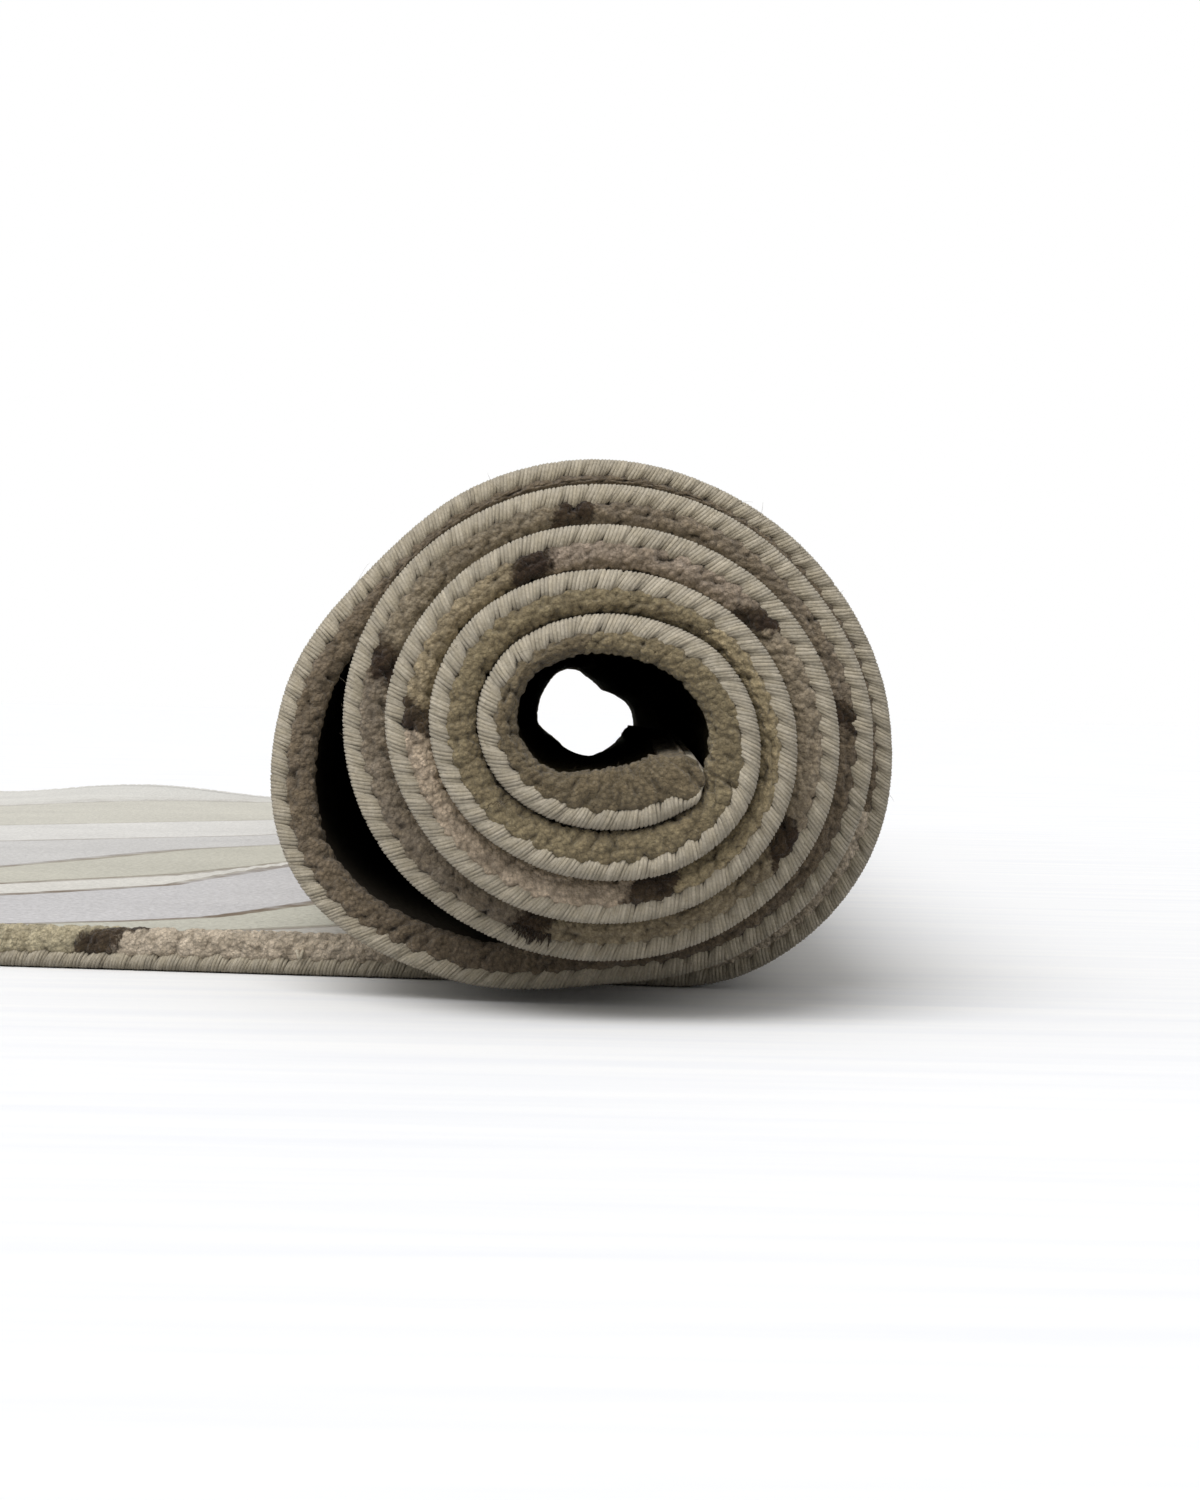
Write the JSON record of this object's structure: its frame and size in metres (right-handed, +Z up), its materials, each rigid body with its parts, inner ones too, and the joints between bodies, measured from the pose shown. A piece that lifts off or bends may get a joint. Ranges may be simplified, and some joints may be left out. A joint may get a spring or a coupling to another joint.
{
  "type": "rolled up carpet",
  "caption": "Cut-pile rug with overcast edges, rolled pile inwards into a slightly conical roll, with its outer part still lying flat on the floor.",
  "frame": {"origin": "on the floor, under the centre of the whole model's box", "axes": "+Z up from the floor, +Y along the roll from its stepped front end to its back end, +X from the flat part towards the roll"},
  "size_m": [0.804, 1.7742, 0.1603],
  "materials": {
    "pile": "dense cut wool pile in grey, greige, olive beige and cream waves with taupe outlines",
    "binding_yarn": "overcast wool yarn, beige grey, matt"
  },
  "bodies": {
    "root": {"carpet": "pile", "binding_front": "binding_yarn", "binding_back": "binding_yarn", "binding_inner_end": "binding_yarn", "binding_outer_end": "binding_yarn"}
  },
  "joints": []
}
